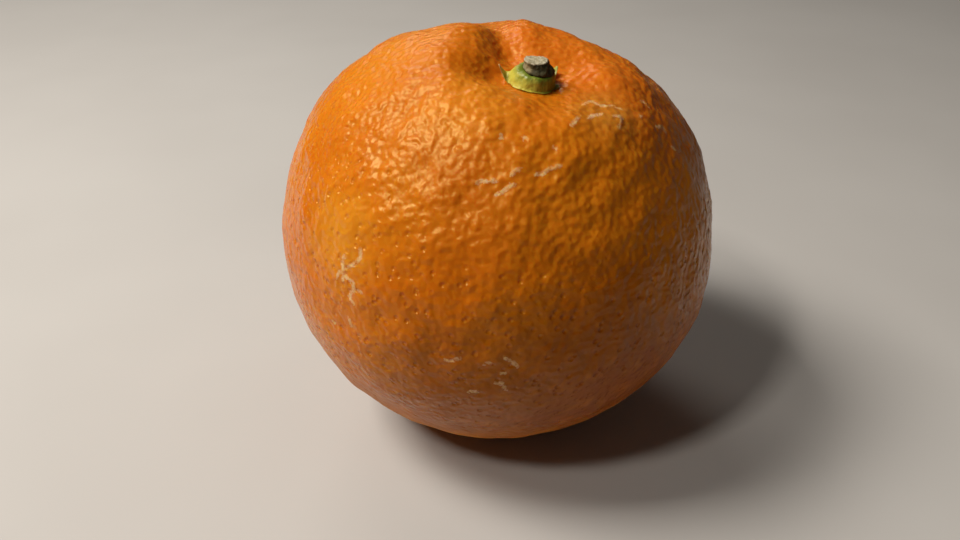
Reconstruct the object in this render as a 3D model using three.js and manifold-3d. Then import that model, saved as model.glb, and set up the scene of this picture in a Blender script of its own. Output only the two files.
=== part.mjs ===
// A sweet orange as picked, with its calyx and a short cut stub of stem still on it.
//
// Three pieces grew on each other and are kept apart here: the fruit itself, which is one solid, the
// star-shaped calyx that lies in the hollow of the stem end, and the woody stub, whose foot goes down
// through the calyx into the fruit. All three are drawn in the fruit's own frame, whose +Z runs from the
// middle of the fruit out through the stem. A group then leans that frame, because the fruit lies
// tipped over, and stands its rest spot on the surface z = 0 at the origin.

import * as THREE from "three";
import { mergeVertices } from "three/addons/utils/BufferGeometryUtils.js";
import Module from "manifold-3d";

// Driving dimensions, in millimetres, and angles in degrees. A bearing is an angle round the stem.
const WAIST_RADIUS = 41;
const STEM_END = 40; // middle of the fruit to the stem end, before that end is hollowed
const BLOSSOM_END = 39.5; // middle of the fruit to the end away from the stem
const LEAN = 19.9; // how far the stem is tipped from upright
const LEAN_TOWARD = -60; // the side it is tipped to, round from +X
const REST_HEIGHT = 39.2; // middle of the fruit above the surface that it rests on
const CLEARANCE = 0.3; // between one piece and the next

// The hollow of the stem end, and the rounded shoulder round it. Its floor is tipped, so that the
// calyx and the stub stand a little aslant.
const HOLLOW_RADIUS = 9;
const HOLLOW_DEPTH = 5.2;
const FLOOR_TILT = 9;
const FLOOR_TILT_TOWARD = 100;
const FLOOR_SPREAD = 10;
const SHOULDER_RADIUS = 17;
const SHOULDER_SPREAD = 7;
const SHOULDER_RISE = 1;
const PLAIN_RADIUS = 4.5; // within this the floor has neither furrows nor pebbling
const ROUGH_RADIUS = 8; // from here on they are at their full height

// The small dimple at the blossom end.
const DIMPLE_RADIUS = 5;
const DIMPLE_DEPTH = 0.9;

// Furrows that run out of the hollow over the shoulder, each from one place to another as seen
// along the stem.
const FURROWS = [
  { from: [-4.2, 0], to: [-11, 36], depth: 3.6, halfWidth: 3 },
  { from: [-3, -0.5], to: [-18, -3], depth: 2.6, halfWidth: 3.6 },
  { from: [0, -4], to: [-5, -16], depth: 0.5, halfWidth: 3 },
  { from: [2, -3], to: [8, -15], depth: 0.6, halfWidth: 2.6 },
  { from: [4, -1.5], to: [19, -7], depth: 1.1, halfWidth: 3 },
  { from: [3, 3], to: [16, 14], depth: 1, halfWidth: 2.8 },
  { from: [1, 4], to: [1, 24], depth: 0.9, halfWidth: 2.8 },
];
const FURROW_DEEPEST = 0.25; // share of its length at which a furrow is deepest

// Broad swells and flats that make this fruit less than round: toward a bearing and an angle
// from the stem, with a rise and the angle over which it spreads.
const SWELLS = [
  { bearing: 158, fromStem: 55, rise: 0.9, spread: 30 },
  { bearing: 16, fromStem: 50, rise: 0.6, spread: 20 },
  { bearing: 70, fromStem: 32, rise: -1.8, spread: 16 },
  { bearing: 122, fromStem: 38, rise: -1.4, spread: 13 },
  { bearing: -30, fromStem: 86, rise: 0.9, spread: 20 },
  { bearing: -125, fromStem: 116, rise: 0.2, spread: 24 },
];

// Pebbling of the peel: waves that cross in random directions, one length apart. It is lower away
// from the stem end.
const PEBBLE_LENGTH = 6.2;
const PEBBLE_HEIGHT = 0.24;
const PEBBLE_WAVES = 36;
const PEBBLE_SEED = 7;
const PEBBLE_SHARE_BELOW = 0.55;
const PEBBLE_CHANGE = 0.6; // share of the radius, up and down, over which its height changes

// Facets: rows on each side of the twenty faces, and how much finer they are at the two ends.
const FACET_ROWS = 23;
const FINER_AT_STEM = 0.15;
const FINER_AT_ENDS = 0.1;

// The calyx: a fleshy collar round the stub, with five sepals. A lift turns a sepal's tip up.
const COLLAR_BORE = 2;
const COLLAR_RADIUS = 3.7;
const COLLAR_SHIFT = 0.8; // how far its outside is off the stub's axis, towards bearing 180
const COLLAR_HEIGHT = 2.2;
const SEPAL_THICKNESS = 0.7;
const SEPALS = [
  { bearing: 178, reach: 1.9, lift: 3 },
  { bearing: 238, reach: 0.5, lift: 0 },
  { bearing: 290, reach: 0.8, lift: 0.1 },
  { bearing: 346, reach: 1.1, lift: 0.3 },
  { bearing: 46, reach: 1.5, lift: 1.7 },
];
const SEPAL_HALF_ANGLE = 25;
const CURL_START = 0.8; // how far inside the collar's edge the tips begin to lift
const CURL_END = 1.9; // how far outside it they are lifted in full
const CALYX_SIDES = 72;

// The stub of stem, cut across at a slant.
const STUB_RADIUS = 2.1;
const STUB_FOOT_RADIUS = 1.7;
const STUB_FLARE = 2.5;
const STUB_HEIGHT = 5; // above the hollow's floor
const STUB_FOOT_DEPTH = 2.6;
const STUB_CHAMFER = 0.3;
const NECK_FOOT = 2.9; // heights of the stub's turns, from where it leaves the collar to its straight part
const FLARE_FOOT = 3.15;
const FLARE_TOP = 3.5;
const BARK_FOOT = 4;
const STUB_SIDES = 24;
const STUB_RIDGES = 5;
const STUB_RIDGE_HEIGHT = 0.12;
const STUB_CUT_SLANT = 0.14; // rise for each millimetre across
const STUB_CUT_TOWARD = 250; // the side of the cut that is higher
const STUB_LEAN = 0.4; // sideways for each millimetre up, towards bearing 180

const LEVEL = 90; // angle from the stem of a direction square to it
const WELD = 1e-5; // corners nearer than this are one

const degrees = THREE.MathUtils.degToRad;
const ease = THREE.MathUtils.smoothstep; // from 0 at its second number to 1 at its third
const bell = (x) => Math.exp(-x * x);

// A direction from a bearing and an angle from the stem.
function direction(bearing, fromStem) {
  const across = Math.sin(degrees(fromStem));
  return new THREE.Vector3(
    across * Math.cos(degrees(bearing)),
    across * Math.sin(degrees(bearing)),
    Math.cos(degrees(fromStem)),
  );
}

// Random numbers from a seed, the same on every run.
function randomNumbers(seed) {
  const modulus = 2147483647;
  let state = seed;
  return () => {
    state = (state * 48271) % modulus;
    return state / modulus;
  };
}

// The pebbling's waves: each a direction with its length, and where it starts.
function pebbleWaves() {
  const random = randomNumbers(PEBBLE_SEED);
  return Array.from({ length: PEBBLE_WAVES }, () => {
    const along = direction(360 * random(), THREE.MathUtils.radToDeg(Math.acos(2 * random() - 1)));
    along.multiplyScalar((2 * Math.PI) / PEBBLE_LENGTH);
    return { along, start: 2 * Math.PI * random() };
  });
}

const WAVES = pebbleWaves();
const SWELL_DIRECTIONS = SWELLS.map((swell) => direction(swell.bearing, swell.fromStem));
const FLOOR_DROP = direction(FLOOR_TILT_TOWARD, LEVEL).multiplyScalar(Math.tan(degrees(FLOOR_TILT)));

// Height of the pebbling at a place on the peel.
function pebbling(place) {
  const sum = WAVES.reduce((total, wave) => total + Math.cos(wave.along.dot(place) + wave.start), 0);
  return PEBBLE_HEIGHT * sum * Math.sqrt(2 / PEBBLE_WAVES);
}

// Depth of all the furrows at a place seen along the stem.
function furrows(place) {
  return FURROWS.reduce((depth, furrow) => {
    const from = new THREE.Vector2(...furrow.from);
    const run = new THREE.Vector2(...furrow.to).sub(from);
    const out = place.clone().sub(from);
    const along = out.dot(run) / run.lengthSq();
    const aside = out.cross(run) / run.length() / furrow.halfWidth;
    const share = ease(along, 0, FURROW_DEEPEST) * (1 - ease(along, FURROW_DEEPEST, 1));
    return depth + furrow.depth * share * bell(aside);
  }, 0);
}

// Distance from the fruit's middle to its peel along a unit direction.
function peelRadius(toward) {
  const fromStem = Math.acos(THREE.MathUtils.clamp(toward.z, -1, 1));
  const end = toward.z > 0 ? STEM_END : BLOSSOM_END;
  const oval = 1 / Math.hypot(Math.sin(fromStem) / WAIST_RADIUS, Math.cos(fromStem) / end);
  const distance = WAIST_RADIUS * fromStem; // along the peel, from the stem
  const distanceBelow = WAIST_RADIUS * (Math.PI - fromStem);
  const place = new THREE.Vector2(toward.x, toward.y).setLength(distance);
  const swelling = SWELLS.reduce((sum, swell, i) => {
    return sum + swell.rise * bell(toward.angleTo(SWELL_DIRECTIONS[i]) / degrees(swell.spread));
  }, 0);
  const hollow = HOLLOW_DEPTH * bell(distance / HOLLOW_RADIUS);
  const tilt = (FLOOR_DROP.x * place.x + FLOOR_DROP.y * place.y) * bell(distance / FLOOR_SPREAD);
  const shoulder = SHOULDER_RISE * bell((distance - SHOULDER_RADIUS) / SHOULDER_SPREAD);
  const dimple = DIMPLE_DEPTH * bell(distanceBelow / DIMPLE_RADIUS);
  const rough = ease(distance, PLAIN_RADIUS, ROUGH_RADIUS);
  const upper = ease(toward.z, -PEBBLE_CHANGE, PEBBLE_CHANGE);
  const pebbled = rough * THREE.MathUtils.lerp(PEBBLE_SHARE_BELOW, 1, upper);
  const smooth = oval + swelling - hollow - tilt + shoulder - dimple;
  return smooth - rough * furrows(place) + pebbled * pebbling(toward.clone().multiplyScalar(oval));
}

// Height of the peel over the fruit's middle, near the stem, at a place seen along the stem.
function peelHeight(x, y) {
  const passes = 6;
  let height = STEM_END - HOLLOW_DEPTH;
  for (let pass = 0; pass < passes; pass++) {
    const toward = new THREE.Vector3(x, y, height).normalize();
    height = peelRadius(toward) * toward.z;
  }
  return height;
}

// A geometry as a manifold-3d solid, with its shared corners merged.
function solidOf(wasm, geometry) {
  const bare = new THREE.BufferGeometry().setAttribute("position", geometry.getAttribute("position"));
  bare.setIndex(geometry.index);
  const merged = mergeVertices(bare, WELD);
  return new wasm.Manifold(
    new wasm.Mesh({
      numProp: 3,
      vertProperties: merged.attributes.position.array,
      triVerts: new Uint32Array(merged.index.array),
    }),
  );
}

// A manifold-3d solid as a geometry.
function geometryOf(solid) {
  const mesh = solid.getMesh();
  const geometry = new THREE.BufferGeometry();
  geometry.setAttribute("position", new THREE.BufferAttribute(mesh.vertProperties, 3));
  geometry.setIndex(new THREE.BufferAttribute(mesh.triVerts, 1));
  geometry.computeVertexNormals();
  return geometry;
}

// Moves every corner of a geometry to where a function puts it.
function reshape(geometry, move) {
  const position = geometry.getAttribute("position");
  const corner = new THREE.Vector3();
  for (let i = 0; i < position.count; i++) {
    corner.fromBufferAttribute(position, i);
    move(corner);
    position.setXYZ(i, corner.x, corner.y, corner.z);
  }
  return geometry;
}

// The way the group leans, and which way is down as seen from the fruit's own frame.
const leaning = new THREE.Quaternion().setFromUnitVectors(
  new THREE.Vector3(0, 0, 1),
  direction(LEAN_TOWARD, LEAN),
);
const downwards = new THREE.Vector3(0, 0, -1).applyQuaternion(leaning.clone().invert());

// The fruit: an even ball of facets, finer at its ends, brought out to the peel, pressed flat where
// it rests, and bored for the foot of the stub.
function fruitGeometry(wasm) {
  const ball = new THREE.IcosahedronGeometry(1, FACET_ROWS);
  ball.deleteAttribute("normal");
  ball.deleteAttribute("uv");
  const peel = reshape(mergeVertices(ball, WELD), (corner) => {
    const even = Math.acos(THREE.MathUtils.clamp(corner.z, -1, 1));
    const round = THREE.MathUtils.radToDeg(Math.atan2(corner.y, corner.x));
    const fromStem = even - FINER_AT_STEM * Math.sin(even) - FINER_AT_ENDS * Math.sin(2 * even);
    corner.copy(direction(round, THREE.MathUtils.radToDeg(fromStem)));
    corner.multiplyScalar(peelRadius(corner));
    const drop = corner.dot(downwards);
    if (drop > REST_HEIGHT) corner.addScaledVector(downwards, REST_HEIGHT - drop);
  });
  const floor = peelHeight(0, 0);
  const boreDepth = STUB_FOOT_DEPTH + CLEARANCE;
  const bore = new THREE.CylinderGeometry(COLLAR_BORE, COLLAR_BORE, 2 * boreDepth, STUB_SIDES);
  bore.rotateX(Math.PI / 2).translate(0, 0, floor);
  return geometryOf(solidOf(wasm, peel).subtract(solidOf(wasm, bore)));
}

// How far the sepals reach at an angle round the stem, and how far their tips lift there.
function sepalsAt(round) {
  const sum = { reach: 0, lift: 0 };
  for (const sepal of SEPALS) {
    const turn = Math.acos(Math.cos(round - degrees(sepal.bearing)));
    const share = Math.max(0, 1 - turn / degrees(SEPAL_HALF_ANGLE));
    sum.reach += sepal.reach * share;
    sum.lift += sepal.lift * share;
  }
  return sum;
}

// The calyx's section, as a share outwards from the bore to the tip and a share upwards from the
// underside to the top, once round and closed on itself.
const CALYX_SECTION = [
  [0, 0],
  [0.25, 0],
  [0.5, 0],
  [0.75, 0],
  [1, 0],
  [1, 1],
  [0.85, 1],
  [0.7, 1],
  [0.55, 1],
  [0.4, 1],
  [0.25, 1],
  [0.1, 1],
  [0, 0.8],
  [0, 0],
];

function calyxGeometry() {
  const section = CALYX_SECTION.map(([out, up]) => new THREE.Vector2(1 + out, up));
  const ring = new THREE.LatheGeometry(section, CALYX_SIDES);
  ring.rotateX(Math.PI / 2);
  ring.deleteAttribute("normal");
  ring.deleteAttribute("uv");
  return reshape(ring, (corner) => {
    const out = Math.hypot(corner.x, corner.y) - 1;
    const up = corner.z;
    const round = Math.atan2(corner.y, corner.x);
    const sepals = sepalsAt(round);
    const edge = COLLAR_RADIUS - COLLAR_SHIFT * Math.cos(round);
    const radius = THREE.MathUtils.lerp(COLLAR_BORE, edge + sepals.reach, out);
    const x = radius * Math.cos(round);
    const y = radius * Math.sin(round);
    const across = (radius - COLLAR_BORE) / (edge - COLLAR_BORE);
    const collar = (COLLAR_HEIGHT - SEPAL_THICKNESS) * bell(across ** 2);
    const curl = sepals.lift * ease(radius, edge - CURL_START, edge + CURL_END) ** 2;
    const under = peelHeight(x, y) + CLEARANCE + curl;
    corner.set(x, y, under + up * (SEPAL_THICKNESS + collar));
  });
}

// The stub's outline, from the axis at its foot to the axis at the cut.
function stubOutline() {
  return [
    [0, -STUB_FOOT_DEPTH],
    [STUB_FOOT_RADIUS - STUB_CHAMFER, -STUB_FOOT_DEPTH],
    [STUB_FOOT_RADIUS, STUB_CHAMFER - STUB_FOOT_DEPTH],
    [STUB_FOOT_RADIUS, NECK_FOOT],
    [STUB_FLARE, FLARE_FOOT],
    [STUB_FLARE - STUB_CHAMFER / 2, FLARE_TOP],
    [STUB_RADIUS, BARK_FOOT],
    [STUB_RADIUS, STUB_HEIGHT - STUB_CHAMFER],
    [STUB_RADIUS - STUB_CHAMFER, STUB_HEIGHT],
    [0, STUB_HEIGHT],
  ].map(([radius, height]) => new THREE.Vector2(radius, height));
}

function stubGeometry() {
  const stub = new THREE.LatheGeometry(stubOutline(), STUB_SIDES);
  stub.rotateX(Math.PI / 2);
  stub.deleteAttribute("normal");
  stub.deleteAttribute("uv");
  const floor = peelHeight(0, 0);
  const cut = direction(STUB_CUT_TOWARD, LEVEL).multiplyScalar(STUB_CUT_SLANT);
  return reshape(stub, (corner) => {
    const round = Math.atan2(corner.y, corner.x);
    const out = Math.hypot(corner.x, corner.y) / STUB_RADIUS;
    const height = corner.z;
    const free = ease(height, COLLAR_HEIGHT, STUB_HEIGHT);
    const ridge = STUB_RIDGE_HEIGHT * out * free * Math.cos(STUB_RIDGES * round);
    const drop = FLOOR_DROP.x * corner.x + FLOOR_DROP.y * corner.y;
    const rise = free * (cut.x * corner.x + cut.y * corner.y);
    corner.z = floor + height - drop * ease(height, 0, COLLAR_HEIGHT) + rise;
    corner.x += ridge * Math.cos(round) - STUB_LEAN * Math.max(0, height - COLLAR_HEIGHT);
    corner.y += ridge * Math.sin(round);
  });
}

function finish(colour, roughness) {
  return new THREE.MeshStandardMaterial({ color: colour, roughness, metalness: 0 });
}

function piece(name, geometry, material) {
  geometry.computeVertexNormals();
  const mesh = new THREE.Mesh(geometry, material);
  mesh.name = name;
  return mesh;
}

const wasm = await Module();
wasm.setup();

const orange = new THREE.Group();
const tipped = new THREE.Group();
tipped.quaternion.copy(leaning);
tipped.position.z = REST_HEIGHT;
tipped.add(
  piece("fruit", fruitGeometry(wasm), finish("#e8801a", 0.42)),
  piece("calyx", calyxGeometry(), finish("#a5a536", 0.6)),
  piece("stem_stub", stubGeometry(), finish("#3a3318", 0.85)),
);
orange.add(tipped);

export default orange;
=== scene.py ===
# %% [markdown]
# # A sweet orange
#
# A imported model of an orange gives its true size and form, in three solids: the fruit, the calyx and
# the cut stub of stem. This lesson dresses them. Each solid gets a finer piece in its place, with the
# relief of real peel, and a finish made of nodes. Lengths are in metres, as Blender has them, and
# where a number is easier to think of in millimetres it is multiplied by MM.

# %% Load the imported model
import math

import bpy
import numpy as np
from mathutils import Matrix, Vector
from mathutils.bvhtree import BVHTree


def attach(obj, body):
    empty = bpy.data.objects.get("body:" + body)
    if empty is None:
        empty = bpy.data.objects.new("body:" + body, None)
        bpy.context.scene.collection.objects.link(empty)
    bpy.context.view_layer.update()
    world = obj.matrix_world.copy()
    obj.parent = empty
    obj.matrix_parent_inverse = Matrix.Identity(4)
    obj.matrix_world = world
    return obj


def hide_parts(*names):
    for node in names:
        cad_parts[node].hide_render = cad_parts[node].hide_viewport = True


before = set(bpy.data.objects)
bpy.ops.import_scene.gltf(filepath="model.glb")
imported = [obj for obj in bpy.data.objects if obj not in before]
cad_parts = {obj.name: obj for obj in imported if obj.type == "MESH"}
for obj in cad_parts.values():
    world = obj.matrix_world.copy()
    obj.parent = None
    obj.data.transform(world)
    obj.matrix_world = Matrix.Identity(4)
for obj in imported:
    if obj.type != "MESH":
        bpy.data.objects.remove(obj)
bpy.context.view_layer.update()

MM = 0.001
print("packed solids:", sorted(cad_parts))

# %% [markdown]
# ## The camera
#
# The camera comes first, because some marks on the peel are placed by where it sees them. It stands a
# hand's width in front of the fruit and looks down on it. So near, the lens is a wide one, and the near
# side of the fruit looks larger than the far side.

# %% Stand the camera in front of the fruit
CAMERA_PLACE = Vector((-3.25, -149.08, 122.6)) * MM
CAMERA_PITCH = math.radians(32)  # below level
PICTURE_WIDTH, PICTURE_HEIGHT = 960, 540  # pixels
FOCAL_PIXELS = 866
SENSOR_WIDTH = 36  # millimetres

camera_data = bpy.data.cameras.new("camera")
camera_data.sensor_width = SENSOR_WIDTH
camera_data.lens = FOCAL_PIXELS * SENSOR_WIDTH / PICTURE_WIDTH
camera_data.clip_start = 5 * MM
camera = bpy.data.objects.new("camera", camera_data)
camera.location = CAMERA_PLACE
camera.rotation_euler = (math.pi / 2 - CAMERA_PITCH, 0, 0)
bpy.context.scene.collection.objects.link(camera)
bpy.context.scene.camera = camera


def sight_line(x, y):
    """The direction in which the camera sees one pixel of the picture."""
    ray = Vector((x - PICTURE_WIDTH / 2, PICTURE_HEIGHT / 2 - y, -FOCAL_PIXELS))
    ray.rotate(camera.rotation_euler)
    return ray.normalized()


print("lens", round(camera_data.lens, 2), "mm")

# %% [markdown]
# ## The fruit's own frame
#
# The fruit lies tipped over. It is easier to think in a frame of its own, whose origin is the middle of
# the fruit and whose third axis runs out through the stem, with places in millimetres.

# %% Turn places into the fruit's own frame and back
FRUIT_MIDDLE = Vector((0, 0, 39.2)) * MM
WAIST_RADIUS = 41 * MM
STEM_LEAN = math.radians(19.9)
STEM_TOWARD = math.radians(-60)

stem_direction = Vector((
    math.sin(STEM_LEAN) * math.cos(STEM_TOWARD),
    math.sin(STEM_LEAN) * math.sin(STEM_TOWARD),
    math.cos(STEM_LEAN),
))
tip_over = Vector((0, 0, 1)).rotation_difference(stem_direction)
own_axes = np.array(tip_over.to_matrix())


def to_own(places):
    """Places in the part's frame, in metres, as places in the fruit's own frame, in millimetres."""
    return (np.asarray(places) - np.array(FRUIT_MIDDLE)) @ own_axes / MM


def from_own(places):
    """The way back: millimetres in the fruit's own frame to metres in the part's frame."""
    return np.asarray(places) * MM @ own_axes.T + np.array(FRUIT_MIDDLE)


# %% Read and move all the vertices of a mesh at once
def vertices_of(piece):
    """The places of its vertices, one to a row."""
    places = np.empty(len(piece.data.vertices) * 3)
    piece.data.vertices.foreach_get("co", places)
    return places.reshape(-1, 3)


def move_vertices(piece, places):
    """Puts its vertices at new places, given in the same order."""
    piece.data.vertices.foreach_set("co", np.ascontiguousarray(places, dtype=np.float32).ravel())
    piece.data.update()


# %% Select a piece, open its faces, and apply a modifier
def deselect_all():
    """An operator acts on all that is selected, so each new piece starts from nothing selected."""
    bpy.ops.object.select_all(action="DESELECT")


def work_on(piece):
    """Selects one piece alone."""
    deselect_all()
    piece.select_set(True)
    bpy.context.view_layer.objects.active = piece


def edit_faces(piece, chosen):
    """Opens a piece in edit mode with only the faces selected for which a test is true."""
    work_on(piece)
    bpy.ops.object.mode_set(mode="EDIT")
    bpy.ops.mesh.select_mode(type="FACE")
    bpy.ops.mesh.select_all(action="DESELECT")
    bpy.ops.object.mode_set(mode="OBJECT")
    for face in piece.data.polygons:
        face.select = bool(chosen(face))
    bpy.ops.object.mode_set(mode="EDIT")


def apply_modifier(piece, kind, **settings):
    """Adds a modifier, sets it, and makes its result the mesh."""
    work_on(piece)
    modifier = piece.modifiers.new(kind.lower(), kind)
    for name, value in settings.items():
        setattr(modifier, name, value)
    bpy.ops.object.modifier_apply(modifier=modifier.name)


# %% [markdown]
# ## Nodes as sums
#
# A finish is a web of nodes, and a web is hard to read. So one small class holds an output socket, and
# Python's own signs on it add the Math nodes: `1 - pits * 0.5` makes two of them. Its method `node` adds
# any other node. The same class serves for materials and for geometry nodes, because both know the same
# noise and cell patterns. That lets one formula draw the same ridges in the peel's mesh and in its finish.

# %% A socket that takes part in sums
MIX_SHARE, MIX_FIRST, MIX_SECOND, MIX_RESULT = 0, 6, 7, 2  # the sockets of a Mix node that are for colours


class Wire:
    """An output socket of a node, or at first only the tree that nodes are added to."""

    def __init__(self, tree, socket=None):
        self.tree = tree
        self.socket = socket

    def node(self, kind, settings=None, inputs=None, output=0):
        """Adds a node, sets its settings first, then its sockets to values or to wires."""
        made = self.tree.nodes.new(kind)
        for name, value in (settings or {}).items():
            setattr(made, name, value)
        for name, value in (inputs or {}).items():
            if isinstance(value, Wire):
                self.tree.links.new(value.socket, made.inputs[name])
            else:
                made.inputs[name].default_value = value
        return Wire(self.tree, made.outputs[output] if made.outputs else None)

    def math(self, operation, *values):
        return self.node("ShaderNodeMath", {"operation": operation}, dict(enumerate(values)))

    def __add__(self, other):
        return self.math("ADD", self, other)

    def __sub__(self, other):
        return self.math("SUBTRACT", self, other)

    def __rsub__(self, other):
        return self.math("SUBTRACT", other, self)

    def __mul__(self, other):
        return self.math("MULTIPLY", self, other)

    __radd__ = __add__
    __rmul__ = __mul__

    def ease(self, low, high):
        """Goes smoothly from 0 where this is low to 1 where it is high."""
        settings = {"interpolation_type": "SMOOTHSTEP"}
        return self.node("ShaderNodeMapRange", settings, {"Value": self, "From Min": low, "From Max": high})

    def mix(self, first, second):
        """A colour between two others, with this as the share of the second."""
        first, second = (colour if isinstance(colour, Wire) else (*colour, 1) for colour in (first, second))
        inputs = {MIX_SHARE: self, MIX_FIRST: first, MIX_SECOND: second}
        return self.node("ShaderNodeMix", {"data_type": "RGBA"}, inputs, MIX_RESULT)

    def paint(self, under, colour, share):
        """A colour laid over another where this is 1, and covering only a share of it."""
        return (self * share).mix(under, colour)

    def vector(self, operation, *values, output=0):
        settings = {"operation": operation}
        return self.node("ShaderNodeVectorMath", settings, dict(enumerate(values)), output)

    def scaled(self, factor):
        return self.node("ShaderNodeVectorMath", {"operation": "SCALE"}, {0: self, "Scale": factor})

    def vector_length(self):
        return self.vector("LENGTH", self, output="Value")

    def away_from(self, place):
        """The distance of this place from another."""
        return self.vector("DISTANCE", self, tuple(place), output="Value")

    def along(self, direction):
        """How far this place lies along a direction."""
        return self.vector("DOT_PRODUCT", self, tuple(direction), output="Value")

    def noise(self, length, detail=2.0, roughness=0.5):
        """Cloudy noise about 0, whose clouds are about one length across."""
        inputs = {"Vector": self, "Scale": 1 / length, "Detail": detail, "Roughness": roughness}
        return self.node("ShaderNodeTexNoise", None, inputs) - 0.5

    def cells(self, length, feature="F1"):
        """The distance to the nearest of many scattered points, which are about one length apart."""
        inputs = {"Vector": self, "Scale": 1 / length}
        return self.node("ShaderNodeTexVoronoi", {"feature": feature}, inputs, "Distance")


# %% [markdown]
# ## The form under the peel
#
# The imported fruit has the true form, but its facets are two millimetres long, too coarse for pits. A copy
# of it becomes the form that a finer skin is wrapped on. Its facets are loose, so they are merged first.
# The bore for the stub would leave a hole in the skin, so its faces are taken out and the gap is filled.
# One level of subdivision then rounds the facets.

# %% Make the form
LOOSE_GAP = 0.01 * MM
BORE_REACH = 2.02  # millimetres from the stem's line, a hair beyond the wall of the bore
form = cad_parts["fruit"].copy()
form.data = form.data.copy()
form.parent = None
form.name = "form"
bpy.context.scene.collection.objects.link(form)
work_on(form)
bpy.ops.object.mode_set(mode="EDIT")
bpy.ops.mesh.select_all(action="SELECT")
bpy.ops.mesh.remove_doubles(threshold=LOOSE_GAP)
bpy.ops.object.mode_set(mode="OBJECT")


def in_bore(face):
    """True for the wall and the floor of the bore."""
    x, y, z = to_own(face.center)
    return z > 0 and math.hypot(x, y) < BORE_REACH


edit_faces(form, in_bore)
bpy.ops.mesh.delete(type="FACE")
bpy.ops.mesh.select_mode(type="EDGE")
bpy.ops.mesh.select_non_manifold()
bpy.ops.mesh.edge_face_add()
bpy.ops.object.mode_set(mode="OBJECT")
apply_modifier(form, "SUBSURF", levels=1, render_levels=1)
print("form faces:", len(form.data.polygons))

# %% [markdown]
# ## A skin of even squares
#
# A globe's squares crowd together at its poles, and the crowding would show on the peel. A cube that is
# cut into many small squares and then swollen to a ball has no poles. Before it is swollen the cuts are
# moved a little outwards, so that the squares come out nearly the same size everywhere. Then it is
# wrapped on the form, and smoothing takes out what is left of the facets.

# %% Swell a cube to a ball
SQUARES = 127  # along each edge of the cube: six faces of two triangles a square stay under 200,000
half_cube = WAIST_RADIUS / math.sqrt(3)
deselect_all()
bpy.ops.mesh.primitive_cube_add(size=2 * half_cube, location=FRUIT_MIDDLE, rotation=tip_over.to_euler())
peel = bpy.context.object
peel.name = "peel"
bpy.ops.object.mode_set(mode="EDIT")
bpy.ops.mesh.select_all(action="SELECT")
bpy.ops.mesh.subdivide(number_cuts=SQUARES - 1)
bpy.ops.object.mode_set(mode="OBJECT")
move_vertices(peel, half_cube * np.tan(vertices_of(peel) / half_cube * math.pi / 4))
bpy.ops.object.mode_set(mode="EDIT")
bpy.ops.mesh.select_all(action="SELECT")
bpy.ops.transform.tosphere(value=1)
bpy.ops.object.mode_set(mode="OBJECT")
bpy.ops.object.transform_apply(location=True, rotation=True, scale=True)
print("squares:", len(peel.data.polygons))

# %% Wrap the skin on the form and smooth it
apply_modifier(peel, "SHRINKWRAP", target=form, wrap_method="PROJECT", use_negative_direction=True)
apply_modifier(peel, "SMOOTH", factor=0.5, iterations=32)
bpy.data.objects.remove(form)
peel.data.shade_smooth()

# %% [markdown]
# ## The relief of the peel
#
# Real peel is a net of low ridges round small pits, one pit over each oil gland. The pits are about two
# millimetres apart. Round the stem the peel is coarse and lumpy, and lower down it gets finer. A finish
# can look rough all by itself, but the fruit's outline would stay smooth. So what the mesh can hold is
# real: geometry nodes raise and sink the skin along its normals by a sum of three noises, which are
# swells, lumps, and short crooked ridges that stand close together. Each noise has a length, which is how
# far apart its hills are, and a height, both in millimetres. The pits are finer than the mesh, and wait
# for the finish. They are where the distance to the nearest of many scattered points is small.

# %% The patterns, for the mesh and for the finish
COARSE_RANGE = (-30, 26)  # heights along the stem's line: where the peel is finest, and where coarsest
SWELL_LENGTH, SWELL_HEIGHT = 3.6, 0.3
LUMP_LENGTH, LUMP_HEIGHT, LEAST_LUMP_HEIGHT = 2.1, 0.2, 0.06
RIDGE_LENGTH, RIDGE_HEIGHT = 1.1, 0.24
PIT_SPACING = 1.6
PIT_SLOPE = (0.36, 0.06)  # shares of the spacing: where a pit begins, and where it is deepest


def own_place(position):
    """Any position wire, in metres in the part's frame, as millimetres from the fruit's middle."""
    return position.vector("SUBTRACT", position, tuple(FRUIT_MIDDLE)).scaled(1 / MM)


def coarse_share(place):
    """1 round the stem end, falling to 0 towards the blossom end."""
    return place.along(stem_direction).ease(*COARSE_RANGE)


def ridges(place):
    """Short crooked ridges, close together."""
    return place.noise(RIDGE_LENGTH, detail=0.4)


def peel_relief(place):
    """The height of the peel in millimetres, apart from the pits."""
    coarse = coarse_share(place)
    swells = place.noise(SWELL_LENGTH) * (coarse * coarse * SWELL_HEIGHT)
    lumps = place.noise(LUMP_LENGTH, detail=0.6) * (LEAST_LUMP_HEIGHT + coarse * LUMP_HEIGHT)
    return swells + lumps + ridges(place) * (coarse * RIDGE_HEIGHT)


def pits(place):
    """1 in the bottom of a pit and 0 on the ridges between."""
    return place.cells(PIT_SPACING).ease(*PIT_SLOPE)


# %% Raise and sink a skin by a formula
def raise_skin(piece, relief_of):
    """Moves each vertex along its normal by the height in millimetres that the formula gives there."""
    tree = bpy.data.node_groups.new(f"{piece.name}_relief", "GeometryNodeTree")
    tree.interface.new_socket("Skin", in_out="INPUT", socket_type="NodeSocketGeometry")
    tree.interface.new_socket("Skin", in_out="OUTPUT", socket_type="NodeSocketGeometry")
    web = Wire(tree)
    height = relief_of(own_place(web.node("GeometryNodeInputPosition"))) * MM
    offset = web.node("GeometryNodeInputNormal").scaled(height)
    skin = web.node("NodeGroupInput")
    raised = web.node("GeometryNodeSetPosition", None, {"Geometry": skin, "Offset": offset})
    web.node("NodeGroupOutput", None, {0: raised})
    apply_modifier(piece, "NODES", node_group=tree)


raise_skin(peel, peel_relief)

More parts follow.
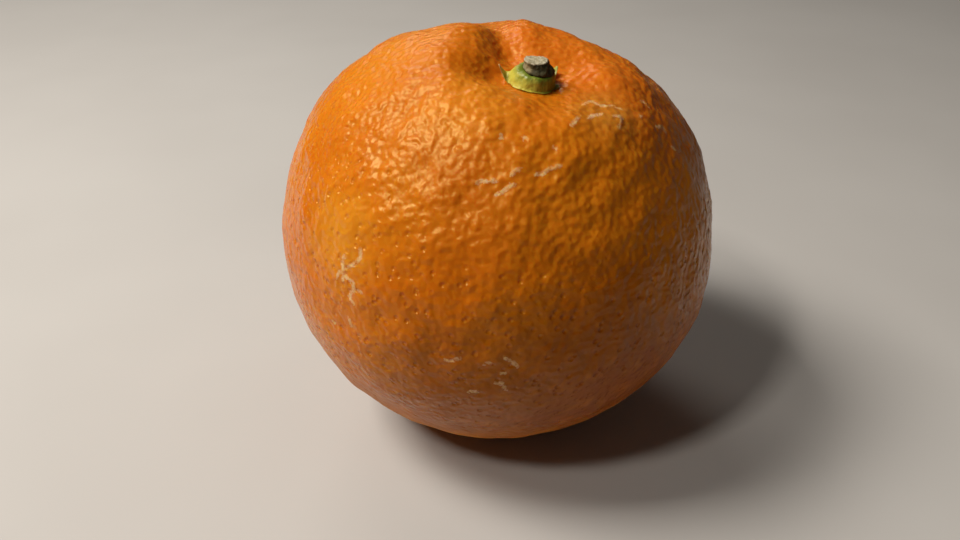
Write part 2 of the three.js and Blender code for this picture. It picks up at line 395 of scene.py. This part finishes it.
# %% Keep the spot that it rests on flat
peel_places = vertices_of(peel)
peel_places[:, 2] = np.maximum(peel_places[:, 2], 0)
move_vertices(peel, peel_places)
print("peel from", vertices_of(peel).min(0).round(4), "to", vertices_of(peel).max(0).round(4))

# %% [markdown]
# ## Scars
#
# Twigs and leaves rub a fruit while it grows, and the peel heals with thin pale crooked lines. Each scar
# here is a line of a few points. The mesh is too coarse to draw a line half a millimetre wide, but a
# distance changes slowly from vertex to vertex. So each vertex keeps its distance from the nearest scar,
# and the finish draws a thin line where that distance is small. The scars on the near side are placed
# along the camera's lines of sight, and those on the far side at random with a fixed seed.

# %% Points on the peel along lines of sight
peel_tree = BVHTree.FromPolygons(
    [tuple(p) for p in vertices_of(peel)], [tuple(face.vertices) for face in peel.data.polygons]
)


def seen_at(x, y):
    """The place on the peel that the camera sees at a pixel of its picture."""
    place = peel_tree.ray_cast(CAMERA_PLACE, sight_line(x, y))[0]
    return np.array(place)


def out_at(direction):
    """The place on the peel in a direction from the fruit's middle, in its own frame."""
    ray = Vector(own_axes @ np.asarray(direction))
    return np.array(peel_tree.ray_cast(FRUIT_MIDDLE, ray.normalized())[0])


# %% The scars that the camera sees, in pixels of its picture
SEEN_SCARS = {
    "cheek_upper": [(345, 255), (342, 263), (344, 271), (343, 280)],
    "cheek_branch": [(360, 249), (361, 257), (355, 264), (348, 267)],
    "cheek_spur": [(344, 269), (338, 274), (337, 278)],
    "cheek_tail": [(346, 277), (353, 283), (354, 290), (349, 296), (354, 304)],
    "cheek_dot": [(358, 291), (361, 292)],
    "cheek_lower": [(333, 321), (335, 323)],
    "cheek_lower_pair": [(349, 318), (351, 326)],
    "brow": [(496, 195), (504, 191), (509, 187), (515, 185)],
    "brow_left": [(476, 183), (484, 181), (497, 181)],
    "brow_upper": [(511, 175), (515, 171), (520, 169)],
    "brow_line": [(535, 174), (544, 174), (550, 168), (555, 168), (561, 165)],
    "shoulder_arc": [(583, 105), (592, 101), (598, 105), (604, 106), (612, 106), (621, 109)],
    "shoulder_thick": [(571, 126), (575, 121), (580, 116)],
    "shoulder_low": [(588, 118), (594, 115), (602, 114)],
    "shoulder_hook": [(613, 116), (622, 117), (621, 123), (619, 128)],
    "rim_line": [(641, 101), (645, 103), (649, 107)],
    "rim_dot": [(639, 116), (642, 117)],
    "rim_fork": [(656, 127), (663, 127), (666, 133)],
    "rim_low": [(672, 147), (675, 149), (677, 153)],
    "foot_left": [(445, 360), (452, 361), (460, 358)],
    "foot_middle": [(484, 364), (488, 362), (491, 364)],
    "foot_leaf": [(505, 358), (512, 361), (518, 367)],
    "foot_fork": [(496, 383), (502, 383), (506, 390)],
    "foot_upper": [(500, 374), (506, 373)],
    "foot_low": [(468, 392), (472, 391), (477, 392)],
    "speck_upper": [(500, 135), (501, 138)],
    "speck_middle": [(524, 137), (525, 140)],
    "speck_right": [(554, 147), (556, 149)],
}
scars = {name: np.array([seen_at(x, y) for x, y in points]) for name, points in SEEN_SCARS.items()}

# %% Scars on the side that the camera doesn't see
HIDDEN_SCARS = 26
SEED = 12
NEAR_STEM = 0.95  # the cosine of how near to the stem a scar may begin
MOST_STEPS = 5
STEP_LENGTHS = (0.02, 0.05)  # least and most, as shares of the fruit's radius
CROOKEDNESS = 0.5


def unit(arrow):
    """The same direction, with a length of 1."""
    return arrow / np.linalg.norm(arrow)


random = np.random.default_rng(SEED)
while len(scars) < len(SEEN_SCARS) + HIDDEN_SCARS:
    direction = unit(random.normal(size=3))
    start = out_at(direction)
    towards_camera = (np.array(CAMERA_PLACE) - start) @ (own_axes @ direction)
    if towards_camera > 0 or direction[2] > NEAR_STEM:
        continue
    heading = np.cross(direction, random.normal(size=3))
    walk = [direction]
    for _ in range(random.integers(1, MOST_STEPS + 1)):
        heading = unit(heading) + CROOKEDNESS * np.cross(direction, random.normal(size=3))
        walk.append(walk[-1] + unit(heading) * random.uniform(*STEP_LENGTHS))
    scars[f"hidden_{len(scars)}"] = np.array([out_at(point) for point in walk])
print("scars:", len(scars))

# %% Keep each vertex's distance from the nearest scar
FAR_FROM_SCARS = 3 * MM
peel_places = vertices_of(peel)
scar_distance = np.full(len(peel_places), FAR_FROM_SCARS)
for line in scars.values():
    for start, end in zip(line[:-1], line[1:]):
        run = end - start
        share = np.clip((peel_places - start) @ run / (run @ run), 0, 1)
        distance = np.linalg.norm(peel_places - start - share[:, None] * run, axis=1)
        scar_distance = np.minimum(scar_distance, distance)
attribute = peel.data.attributes.new("scar_distance", "FLOAT", "POINT")
attribute.data.foreach_set("value", (scar_distance / MM).astype(np.float32))
print("vertices within a millimetre of a scar:", int((scar_distance < MM).sum()))

# %% [markdown]
# ## The finish of the peel
#
# Orange peel isn't one orange. It is paler and yellower in patches, and redder where the sun was on it.
# Shade is painted into its colour as well: it is darker in the pits, on the foot, and low at the front.
# It is waxy, so it has a soft gloss that breaks up on the ridges, and light goes into it and comes out
# again near by. All this could be painted on a picture, but a ball can't be unwrapped without seams.
# Patterns that are read from places in space have none. So each colour is laid over the last where a
# noise, a distance or a height says so.

# %% A material to start from
def new_finish(name):
    """A material with its shader, and a wire to add nodes from."""
    finish = bpy.data.materials.new(name)
    finish.use_nodes = True
    return finish, finish.node_tree.nodes["Principled BSDF"], Wire(finish.node_tree)


def feed(shader, name, wire):
    """Links a wire to a socket of the shader."""
    wire.tree.links.new(wire.socket, shader.inputs[name])


def set_all_over(shader, values):
    """Sets the sockets that have one value all over the surface."""
    for name, value in values.items():
        shader.inputs[name].default_value = value


def emboss(shader, height):
    """Shades a surface as if it had this height in millimetres, which is too fine for its mesh."""
    bump = height.node("ShaderNodeBump", None, {"Strength": 1.0, "Distance": MM, "Height": height})
    feed(shader, "Normal", bump)


def cover(piece, finish):
    """Gives a piece a finish in place of any other."""
    piece.data.materials.clear()
    piece.data.materials.append(finish)


def from_middle(place):
    """A place in the part's frame as the finishes measure it: millimetres from the fruit's middle."""
    return (np.asarray(place) - np.array(FRUIT_MIDDLE)) / MM


# %% The colours of the peel
DEEP_ORANGE, LIGHT_ORANGE = (0.57, 0.146, 0.004), (0.62, 0.184, 0.005)
MOTTLE_ORANGE = (0.70, 0.22, 0.008)
PIT_SHADE_RED, GLAND_RED = (0.42, 0.08, 0.003), (0.30, 0.07, 0.006)
FOOT_SHADE_BROWN, BUTTON_BROWN = (0.30, 0.08, 0.001), (0.26, 0.14, 0.045)
SCAR_TAN = (0.70, 0.45, 0.22)

# %% Patches of another colour
PATCHES = {  # the pixel that each is seen at, its radius in millimetres, its colour, and its share
    "yellow_cheek": ((338, 240), 7.5, (0.68, 0.27, 0.015), 0.6),
    "yellow_front": ((473, 100), 7.0, (0.72, 0.25, 0.012), 0.6),
    "red_shoulder": ((640, 90), 12.0, (0.60, 0.13, 0.006), 0.5),
    "red_rear": ((560, 45), 12.0, (0.64, 0.145, 0.008), 0.5),
    # The last two are painted shade: they darken the fruit at its foot and low at the front.
    "painted_shade_foot": ((600, 378), 22.0, (0.29, 0.06, 0.001), 0.8),
    "painted_shade_front": ((470, 408), 17.0, (0.29, 0.066, 0.001), 0.78),
    "olive": ((606, 112), 5.5, (0.44, 0.20, 0.02), 0.5),
}

# %% Start the peel's finish, with its zones
ZONES = {  # heights along the stem's line, in millimetres: where each begins, and from where on it is full
    "foot": (-4, -30),  # and on down to the blossom end
    "waist": (-6, 10),  # and on up to the stem
    "shoulder": (17, 32),  # and on up to the stem
}
peel_finish, shader, web = new_finish("orange_peel")
place = own_place(web.node("ShaderNodeTexCoord", None, None, "Object"))
coarse = coarse_share(place)
zones = {name: place.along(stem_direction).ease(*heights) for name, heights in ZONES.items()}


def by_zone(everywhere, **changes):
    """A value, with what each zone that is named adds to it."""
    for name, change in changes.items():
        everywhere = everywhere + zones[name] * change
    return everywhere


# %% Its colour, from the widest changes to the smallest
PATCH_EDGE = (1.5, 0.3)  # shares of its radius: where a patch begins, and where it is full
PATCH_RAGGEDNESS = 1.4  # also a share of its radius
GLAND_SPACING, GLAND_SLOPE = 3.4, (0.12, 0.05)
broad = place.noise(24, detail=2)
colour = broad.ease(-0.14, 0.16).mix(DEEP_ORANGE, LIGHT_ORANGE)
for pixel, radius, patch_colour, share in PATCHES.values():
    rags = place.noise(5, detail=3) * (radius * PATCH_RAGGEDNESS)
    reach = place.away_from(from_middle(seen_at(*pixel))) + rags
    begins, full = (radius * edge for edge in PATCH_EDGE)
    colour = reach.ease(begins, full).paint(colour, patch_colour, share)
mottle = place.noise(3.2, detail=3).ease(0.02, 0.25)
colour = mottle.paint(colour, MOTTLE_ORANGE, share=0.3)
pit = pits(place)
# Painted shade in the pits: their bottoms are laid over with a darker red.
colour = pit.paint(colour, PIT_SHADE_RED, share=0.12 - coarse * 0.1)
# Painted shade: the foot, the underside of the fruit, is laid over with a darker brown.
colour = zones["foot"].paint(colour, FOOT_SHADE_BROWN, share=0.6)
gland = place.cells(GLAND_SPACING).ease(*GLAND_SLOPE) * coarse.ease(0.5, 0.1)
colour = gland.paint(colour, GLAND_RED, share=0.6)

# %% The small round scar of the blossom end, and the thin scars, with ragged edges and fine cracks
BUTTON_EDGE = (2.2, 1.5)  # millimetres from the middle: where it begins, and where it is full
SCAR_EDGE = (0.46, 0.18)  # the same, from the line
blossom_end = from_middle(out_at((0, 0, -1)))
button = (place.away_from(blossom_end) + place.noise(1.2, detail=3) * 1.6).ease(*BUTTON_EDGE)
colour = button.mix(colour, BUTTON_BROWN)
from_scar = web.node("ShaderNodeAttribute", {"attribute_name": "scar_distance"}, None, "Fac")
ragged = from_scar + place.noise(0.7, detail=3, roughness=0.7) * 0.9
cracked = place.cells(0.6, "DISTANCE_TO_EDGE").ease(0.22, 0.06) * 0.4 + 0.6
scar = ragged.ease(*SCAR_EDGE) * cracked
worn = place.noise(1.5, detail=2).ease(-0.2, 0.15) * 0.4 + 0.55
colour = scar.paint(colour, SCAR_TAN, share=worn)
feed(shader, "Base Color", colour)

# %% Its wax, which is dull on the foot and the scars, and the light that goes into it
gloss_breaks = place.noise(6, detail=3) * 0.1 + scar * 0.3
feed(shader, "Roughness", by_zone(0.23, shoulder=0.15, foot=0.70) + gloss_breaks)
set_all_over(shader, {
    "Specular IOR Level": 0.32,
    "Specular Tint": (1.0, 0.88, 0.3, 1),
    "Subsurface Weight": 1.0,
    "Subsurface Radius": (1.0, 0.55, 0.15),
    "Subsurface Scale": 1.8 * MM,
})

# %% Its fine relief: heights and depths in millimetres
GRAIN_HEIGHT, SCAR_HEIGHT, BUTTON_HEIGHT = 0.008, 0.06, 0.3
ridge_height = by_zone(0.22, waist=0.10, shoulder=0.06, foot=-0.18)
pit_depth = by_zone(0.17, waist=0.06, shoulder=-0.22, foot=-0.04) + place.noise(3.4, detail=0) * 0.3
raised = ridges(place) * ridge_height + place.noise(0.5) * GRAIN_HEIGHT
raised = raised + scar * SCAR_HEIGHT + button * BUTTON_HEIGHT
emboss(shader, raised - pit * pit_depth)
cover(peel, peel_finish)
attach(peel, "root")
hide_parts("fruit")

# %% [markdown]
# ## The calyx
#
# The calyx is what is left of the flower's green cup: a fleshy ring round the stem, thick as a cushion,
# with five small sepals. Three of the sepals are short and lie down, and two stand up as thin blades. A
# torus is the right start, because the stem goes through a hole in the ring. Its round section is
# reshaped: the outer half is pulled out to the edge at that bearing, and the upper half is lifted to the
# cushion's top or to the blade. Its underside follows the peel, whose height is found by casting rays
# down the stem's line. All this is in the fruit's own frame, in millimetres.

# %% The height of the peel under any place near the stem
HOLLOW_FLOOR = 34.8  # how far the floor of the hollow is from the middle of the fruit
OVER_THE_FRUIT = 60
FLOOR_TILT = math.radians(9)
FLOOR_UP_TOWARD = math.radians(-80)


def floor_plane(x, y):
    """The height of the hollow's floor, as a plane."""
    rise = x * math.cos(FLOOR_UP_TOWARD) + y * math.sin(FLOOR_UP_TOWARD)
    return HOLLOW_FLOOR + math.tan(FLOOR_TILT) * rise


def peel_height(x, y):
    """The height of the peel itself."""
    start = Vector(from_own((x, y, OVER_THE_FRUIT)))
    return to_own(peel_tree.ray_cast(start, -stem_direction)[0])[2]


def place_in_fruit(piece):
    """Moves a piece that was made upright in the fruit's own frame to its place."""
    work_on(piece)
    piece.rotation_euler = tip_over.to_euler()
    piece.location = FRUIT_MIDDLE
    bpy.ops.object.transform_apply(location=True, rotation=True, scale=True)


# %% The edge of the calyx at each bearing
CALYX_BORE = 1.85
CUSHION_RADIUS = 4.0
CUSHION_SHIFT = -0.9  # the cushion is a little off the stem's line
SEPALS = (  # bearing, reach beyond the cushion, height of the tip over the floor, half angle
    (178, 1.9, 3.6, 21),
    (238, 0.35, 0.5, 34),
    (290, 0.45, 0.5, 34),
    (346, 0.9, 1.3, 24),
    (46, 1.7, 2.9, 20),
)


def cushion_edge(bearing):
    """How far the round cushion reaches from the stem's line."""
    shift = CUSHION_SHIFT * np.sin(bearing)
    return CUSHION_SHIFT * np.cos(bearing) + np.sqrt(CUSHION_RADIUS**2 - shift**2)


# %% Start from a torus, and read each vertex's bearing and its place round the section
CALYX_SIDES, SECTION_SIDES = 180, 36
TORUS_RADIUS = 3
deselect_all()
bpy.ops.mesh.primitive_torus_add(
    major_segments=CALYX_SIDES,
    minor_segments=SECTION_SIDES,
    major_radius=TORUS_RADIUS * MM,
    minor_radius=MM,
)
calyx = bpy.context.object
calyx.name = "calyx_cup"
ring = vertices_of(calyx) / MM
bearing = np.arctan2(ring[:, 1], ring[:, 0])
section_angle = np.arctan2(ring[:, 2], np.hypot(ring[:, 0], ring[:, 1]) - TORUS_RADIUS)

# %% Pull it out to the edge at each bearing, and note whose sepal is there
SEPAL_FULLNESS = 0.8  # under 1, a sepal is fuller than a triangle
edge = cushion_edge(bearing)
reach, tip_reach, tip_height = np.zeros_like(edge), np.ones_like(edge), np.zeros_like(edge)
for sepal_bearing, sepal_reach, sepal_height, half_angle in SEPALS:
    turn = np.abs((np.degrees(bearing) - sepal_bearing + 180) % 360 - 180) / half_angle
    here = sepal_reach * np.clip(1 - turn, 0, 1) ** SEPAL_FULLNESS
    tip_reach = np.where(here > reach, sepal_reach, tip_reach)
    tip_height = np.where(here > reach, sepal_height, tip_height)
    reach = np.maximum(reach, here)
outward = (1 + np.cos(section_angle)) / 2
radius = CALYX_BORE + (edge + reach - CALYX_BORE) * outward
x, y = radius * np.cos(bearing), radius * np.sin(bearing)
print("calyx reaches", radius.max().round(2), "mm from the stem's line")

# %% The top of the cushion and of the blades
CUSHION_PROFILE = (  # share of the way from bore to edge, height over the floor
    (0.0, 3.1), (0.2, 3.45), (0.4, 3.5), (0.55, 3.4), (0.7, 3.05), (0.85, 2.3), (0.95, 1.4), (1.0, 0.8),
)
BLADE_CURL = 1.2  # over 1, a blade lies flat first and then turns up
CLEAR_OF_PEEL, LEAST_THICKNESS = 0.05, 0.25
under = np.array([peel_height(*point) for point in zip(x, y)])
shares, heights = zip(*CUSHION_PROFILE)
share = (radius - CALYX_BORE) / (edge - CALYX_BORE)
cushion_top = floor_plane(x, y) + np.interp(share, shares, heights)
beyond = np.clip((radius - edge) / tip_reach, 0, 1)
blade_top = floor_plane(x, y) + heights[-1] + (tip_height - heights[-1]) * beyond**BLADE_CURL
top = np.maximum(np.where(radius < edge, cushion_top, blade_top), under + CLEAR_OF_PEEL + LEAST_THICKNESS)

# %% Its underside, and a full section between the two
BLADE_THICKNESS, BLADE_TAPER = 0.4, 0.6
BLADE_ROOT = 0.5  # how far inside the cushion's edge a blade begins
SECTION_FULLNESS = 0.6  # under 1, the section is fuller than an ellipse
blade = BLADE_THICKNESS * (1 - BLADE_TAPER * beyond)
bottom = np.maximum(under + CLEAR_OF_PEEL, np.where(radius < edge - BLADE_ROOT, under, top - blade))
upward = np.sign(np.sin(section_angle)) * np.abs(np.sin(section_angle)) ** SECTION_FULLNESS
z = (top + bottom) / 2 + (top - bottom) / 2 * upward
move_vertices(calyx, np.stack([x, y, z], axis=1) * MM)
place_in_fruit(calyx)
apply_modifier(calyx, "SMOOTH", factor=0.5, iterations=3)
apply_modifier(calyx, "SUBSURF", levels=1, render_levels=1)


# %% Flesh that has dried and shrunk a little
def calyx_relief(place):
    """Soft dents, with finer wrinkles over them."""
    return place.noise(1.3, detail=2) * 0.5 + place.noise(0.45, detail=1) * 0.12


raise_skin(calyx, calyx_relief)
calyx.data.shade_smooth()
print("calyx faces:", len(calyx.data.polygons))

# %% [markdown]
# ## The finish of the calyx
#
# The flesh is still green beside the stem, yellow where it dries at the rim, and brown at the tips of the
# sepals. The distance from the stem's line tells these apart, and a noise added to it makes the borders
# wander. The side away from the lamps is painted a darker green, as shade. Dark specks are scattered
# points again, as the pits of the peel are, but only in some places.

# %% Lay green, yellow and brown by the distance from the stem, and painted shade on one side
RIM_EDGE, TIP_EDGE = (3.0, 4.5), (5.3, 6.2)  # millimetres: where each begins, and where it is full
RIM_YELLOW, CALYX_GREEN, SHADED_GREEN = (0.50, 0.43, 0.05), (0.15, 0.19, 0.016), (0.20, 0.23, 0.02)
TIP_BROWN, SPECK_BROWN = (0.50, 0.33, 0.14), (0.10, 0.07, 0.01)
SHADED_TOWARD = (0.9, -0.1, 0)  # in the fruit's own frame
calyx_finish, shader, web = new_finish("calyx_flesh")
place = own_place(web.node("ShaderNodeTexCoord", None, None, "Object"))
from_stem = place.vector("CROSS_PRODUCT", place, tuple(stem_direction)).vector_length()
patchy = place.noise(1.6, detail=3)
colour = (from_stem + patchy * 2.4).ease(*RIM_EDGE).mix(CALYX_GREEN, RIM_YELLOW)
# Painted shade: the side away from the lamps is laid over with a darker green.
shaded = (place.along(own_axes @ np.array(SHADED_TOWARD)) + patchy * 2).ease(0.8, 3.2)
colour = shaded.paint(colour, SHADED_GREEN, share=0.6)
tip = (from_stem + place.noise(0.8, detail=2) * 0.6).ease(*TIP_EDGE)
colour = tip.mix(colour, TIP_BROWN)
specks = place.cells(0.55).ease(0.16, 0.08) * place.noise(2.0).ease(0.0, 0.1)
colour = specks.paint(colour, SPECK_BROWN, share=0.7)
feed(shader, "Base Color", colour)
feed(shader, "Roughness", 0.42 + patchy * 0.4)
set_all_over(shader, {
    "Specular IOR Level": 0.35,
    "Subsurface Weight": 0.12,
    "Subsurface Radius": (0.8, 0.9, 0.2),
    "Subsurface Scale": MM,
})
emboss(shader, place.noise(0.35, detail=3) * 0.05 - specks * 0.04)
cover(calyx, calyx_finish)
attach(calyx, "root")
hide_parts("calyx")

# %% [markdown]
# ## The stub of the stem
#
# The picker cuts the stem a few millimetres above the calyx. The stub is woody: dark bark with lighter
# lichen on one side, and a pale dry cut. It flares where it joins the calyx, and leans. A cylinder is
# extruded upwards ring by ring, as a turner would shape it. A profile could be spun instead, but the cut
# would then be a fan of thin triangles. Here the cut is one face, which is inset a few times so that it
# has enough rings for the slant and the grain.

# %% Extrude the stub ring by ring
STUB_SIDES = 32
FOOT_HEIGHT, FOOT_RADIUS, FOOT_THICKNESS = -1.0, 1.7, 0.2  # the height is over the hollow's floor
STUB_RINGS = (  # height over the hollow's floor, and radius
    (2.2, 1.75), (3.05, 2.1), (3.4, 2.55), (3.62, 2.7), (3.85, 2.6), (4.15, 2.3), (4.5, 2.08),
    (4.9, 1.96), (5.2, 1.93), (5.28, 1.86),
)
CUT_INSETS = (0.08, 0.45, 0.45, 0.4)
FACING_UP = 0.9  # the least upward share of a normal
deselect_all()
bpy.ops.mesh.primitive_cylinder_add(
    vertices=STUB_SIDES,
    radius=FOOT_RADIUS * MM,
    depth=FOOT_THICKNESS * MM,
    location=(0, 0, FOOT_HEIGHT * MM),
)
stub = bpy.context.object
stub.name = "cut_stub"
bpy.ops.object.transform_apply(location=True, rotation=True, scale=True)
edit_faces(stub, lambda face: face.normal.z > FACING_UP)
height, radius = FOOT_HEIGHT + FOOT_THICKNESS / 2, FOOT_RADIUS
for next_height, next_radius in STUB_RINGS:
    rise = (0, 0, (next_height - height) * MM)
    bpy.ops.mesh.extrude_region_move(TRANSFORM_OT_translate={"value": rise})
    swell = next_radius / radius
    bpy.ops.transform.resize(value=(swell, swell, 1), center_override=(0, 0, next_height * MM))
    height, radius = next_height, next_radius
for inset in CUT_INSETS:
    bpy.ops.mesh.inset(thickness=inset * MM, depth=0)
bpy.ops.mesh.select_all(action="SELECT")
bpy.ops.mesh.normals_make_consistent(inside=False)
bpy.ops.object.mode_set(mode="OBJECT")
print("stub rings:", len(STUB_RINGS) + len(CUT_INSETS))

# %% Lean it, slant the cut and set it in the fruit
CUT_HEIGHT, FLARE_HEIGHT = 5.28, 3.4
CUT_SHIFT = (-1.0, 0.1)  # how far the lean takes the cut from the stem's line
CUT_SLOPE = 0.29
CUT_UP_TOWARD = math.radians(-63)
x, y, height = vertices_of(stub).T / MM
risen = np.clip((height - FLARE_HEIGHT) / (CUT_HEIGHT - FLARE_HEIGHT), 0, 1)
slant = CUT_SLOPE * (x * math.cos(CUT_UP_TOWARD) + y * math.sin(CUT_UP_TOWARD))
z = height + risen * (slant + HOLLOW_FLOOR) + (1 - risen) * floor_plane(x, y)
x, y = x + CUT_SHIFT[0] * risen, y + CUT_SHIFT[1] * risen
move_vertices(stub, np.stack([x, y, z], axis=1) * MM)
place_in_fruit(stub)
apply_modifier(stub, "SUBSURF", levels=2, render_levels=2)


# %% Cracked bark, and a rough cut
def stub_relief(place):
    """Deep cracks, with finer ones over them."""
    return place.noise(1.1, detail=2) * 0.7 + place.noise(0.4, detail=2) * 0.22


raise_skin(stub, stub_relief)
stub.data.shade_smooth()
print("stub faces:", len(stub.data.polygons))

# %% [markdown]
# ## The finish of the stub
#
# The bark is nearly black, with a pale patch of lichen on one side, and the cut is dry wood. Bark and cut
# are one mesh, so the finish has to find the cut by itself: it is where a place lies above a slanted
# plane. A little noise keeps the border between them from being a ruled line.

# %% The plane of the cut
cut_middle = from_middle(from_own((*CUT_SHIFT, HOLLOW_FLOOR + CUT_HEIGHT)))
cut_normal = own_axes @ unit(
    np.array([-CUT_SLOPE * math.cos(CUT_UP_TOWARD), -CUT_SLOPE * math.sin(CUT_UP_TOWARD), 1])
)
print("cut middle", cut_middle.round(1), "mm from the fruit's middle")

# %% Lay the lichen on the bark, and the wood on the cut
LICHEN_EDGE = (1.7, 0.9)  # millimetres from its middle: where it begins, and where it is full
CUT_EDGE = (-0.28, -0.12)  # the same, from the plane of the cut
DARK_BARK, LIGHT_BARK = (0.022, 0.021, 0.006), (0.075, 0.062, 0.022)
LICHEN = (0.30, 0.24, 0.12)
DARK_WOOD, PALE_WOOD = (0.30, 0.24, 0.13), (0.50, 0.44, 0.30)
LICHEN_PLACE = (-2.2, -0.9, 38.9)  # in the fruit's own frame
stub_finish, shader, web = new_finish("stub_bark")
place = own_place(web.node("ShaderNodeTexCoord", None, None, "Object"))
patchy = place.noise(1.1, detail=4, roughness=0.6)
colour = patchy.ease(-0.15, 0.2).mix(DARK_BARK, LIGHT_BARK)
lichen = (place.away_from(from_middle(from_own(LICHEN_PLACE))) + patchy * 2.2).ease(*LICHEN_EDGE)
colour = lichen.paint(colour, LICHEN, share=0.85)
over_cut = place.along(cut_normal) - float(cut_middle @ cut_normal)
cut = (over_cut + place.noise(0.5, detail=2) * 0.2).ease(*CUT_EDGE)
wood = place.noise(0.45, detail=3).ease(-0.2, 0.2).mix(DARK_WOOD, PALE_WOOD)
colour = cut.mix(colour, wood)
feed(shader, "Base Color", colour)
feed(shader, "Roughness", 0.7 + patchy * 0.3)
set_all_over(shader, {"Specular IOR Level": 0.3})
emboss(shader, place.noise(0.3, detail=3, roughness=0.6) * 0.1)
cover(stub, stub_finish)
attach(stub, "root")
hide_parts("stem_stub")

# %% [markdown]
# ## The floor and the light
#
# A plain pale floor, and three soft lamps: a strong one high on the left, a second in front of it, and a
# wide weak one behind on the left. The shadow says where the strong one stands: away from the side that
# the shadow falls on, and as high as the shadow is short. The other two soften its edge and light the
# shoulder behind the stem. A little even light comes from all round.

# %% The floor
FLOOR_SIZE = 3.0
FLOOR_GREY, FLOOR_PALE = (0.50, 0.467, 0.43), (0.525, 0.492, 0.454)
deselect_all()
bpy.ops.mesh.primitive_plane_add(size=FLOOR_SIZE, location=(0, 0, 0))
floor = bpy.context.object
floor.name = "floor"
floor_finish, shader, web = new_finish("pale_floor")
cloud = web.node("ShaderNodeTexCoord", None, None, "Object").scaled(1 / MM).noise(60, detail=2)
feed(shader, "Base Color", cloud.ease(-0.3, 0.3).mix(FLOOR_GREY, FLOOR_PALE))
set_all_over(shader, {"Roughness": 0.75})
cover(floor, floor_finish)

# %% The lamps
LAMP_COLOUR = (1.0, 0.97, 0.92)
LAMPS = {  # azimuth and elevation in degrees, distance and size in metres, power in watts
    "key": (185, 54, 0.585, 0.20, 3.55),
    "second": (224, 50, 0.87, 0.10, 2.0),
    "rear": (112, 38, 0.80, 0.30, 1.05),
}


def lamp(name, azimuth, elevation, distance, size, power):
    """A square soft lamp that looks at the fruit."""
    data = bpy.data.lights.new(name, "AREA")
    data.size, data.energy, data.color = size, power, LAMP_COLOUR
    made = bpy.data.objects.new(name, data)
    around, up = math.radians(azimuth), math.radians(elevation)
    towards = Vector((math.cos(around) * math.cos(up), math.sin(around) * math.cos(up), math.sin(up)))
    made.location = FRUIT_MIDDLE + towards * distance
    made.rotation_euler = towards.to_track_quat("Z", "Y").to_euler()
    bpy.context.scene.collection.objects.link(made)


for name, settings in LAMPS.items():
    lamp(name, *settings)
print("lamps:", ", ".join(LAMPS))

# %% The light all round
world = bpy.data.worlds.new("studio")
world.use_nodes = True
background = world.node_tree.nodes["Background"]
set_all_over(background, {"Color": (0.86, 0.84, 0.80, 1), "Strength": 0.038})
bpy.context.scene.world = world
bpy.context.scene.view_settings.view_transform = "Standard"
